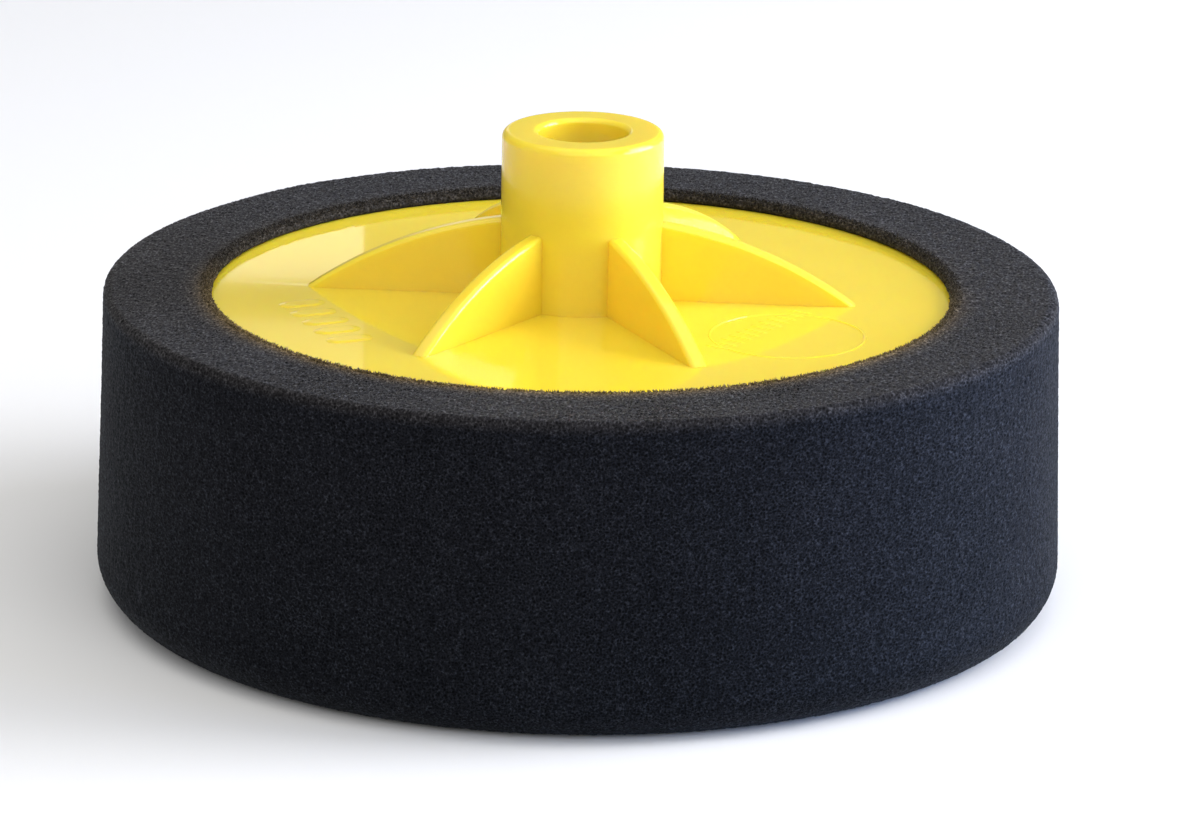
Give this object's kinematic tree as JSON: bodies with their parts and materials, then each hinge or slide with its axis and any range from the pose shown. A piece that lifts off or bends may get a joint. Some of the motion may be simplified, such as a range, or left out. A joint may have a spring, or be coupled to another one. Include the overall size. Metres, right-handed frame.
{
  "type": "polishing pad",
  "caption": "Round black foam polishing pad with a recessed plastic hub: a ribbed disc and a tall threaded boss for a rotary polisher's spindle.",
  "frame": {"origin": "centre of the foam's working face, on the spindle axis", "axes": "+Z along the spindle axis from the working face towards the machine, so the pad lies foam down with its hub up; +X runs along one of the hub's ribs"},
  "size_m": [0.1524, 0.1524, 0.075],
  "materials": {
    "black_foam": "matt fine open-cell foam",
    "hot_melt": "waxy translucent adhesive",
    "yellow_plastic": "glossy moulded plastic, slightly translucent",
    "steel": "zinc-plated turned steel"
  },
  "bodies": {
    "root": {"foam_pad": "black_foam", "adhesive_layer": "hot_melt", "hub": "yellow_plastic", "threaded_insert": "steel"}
  },
  "joints": []
}
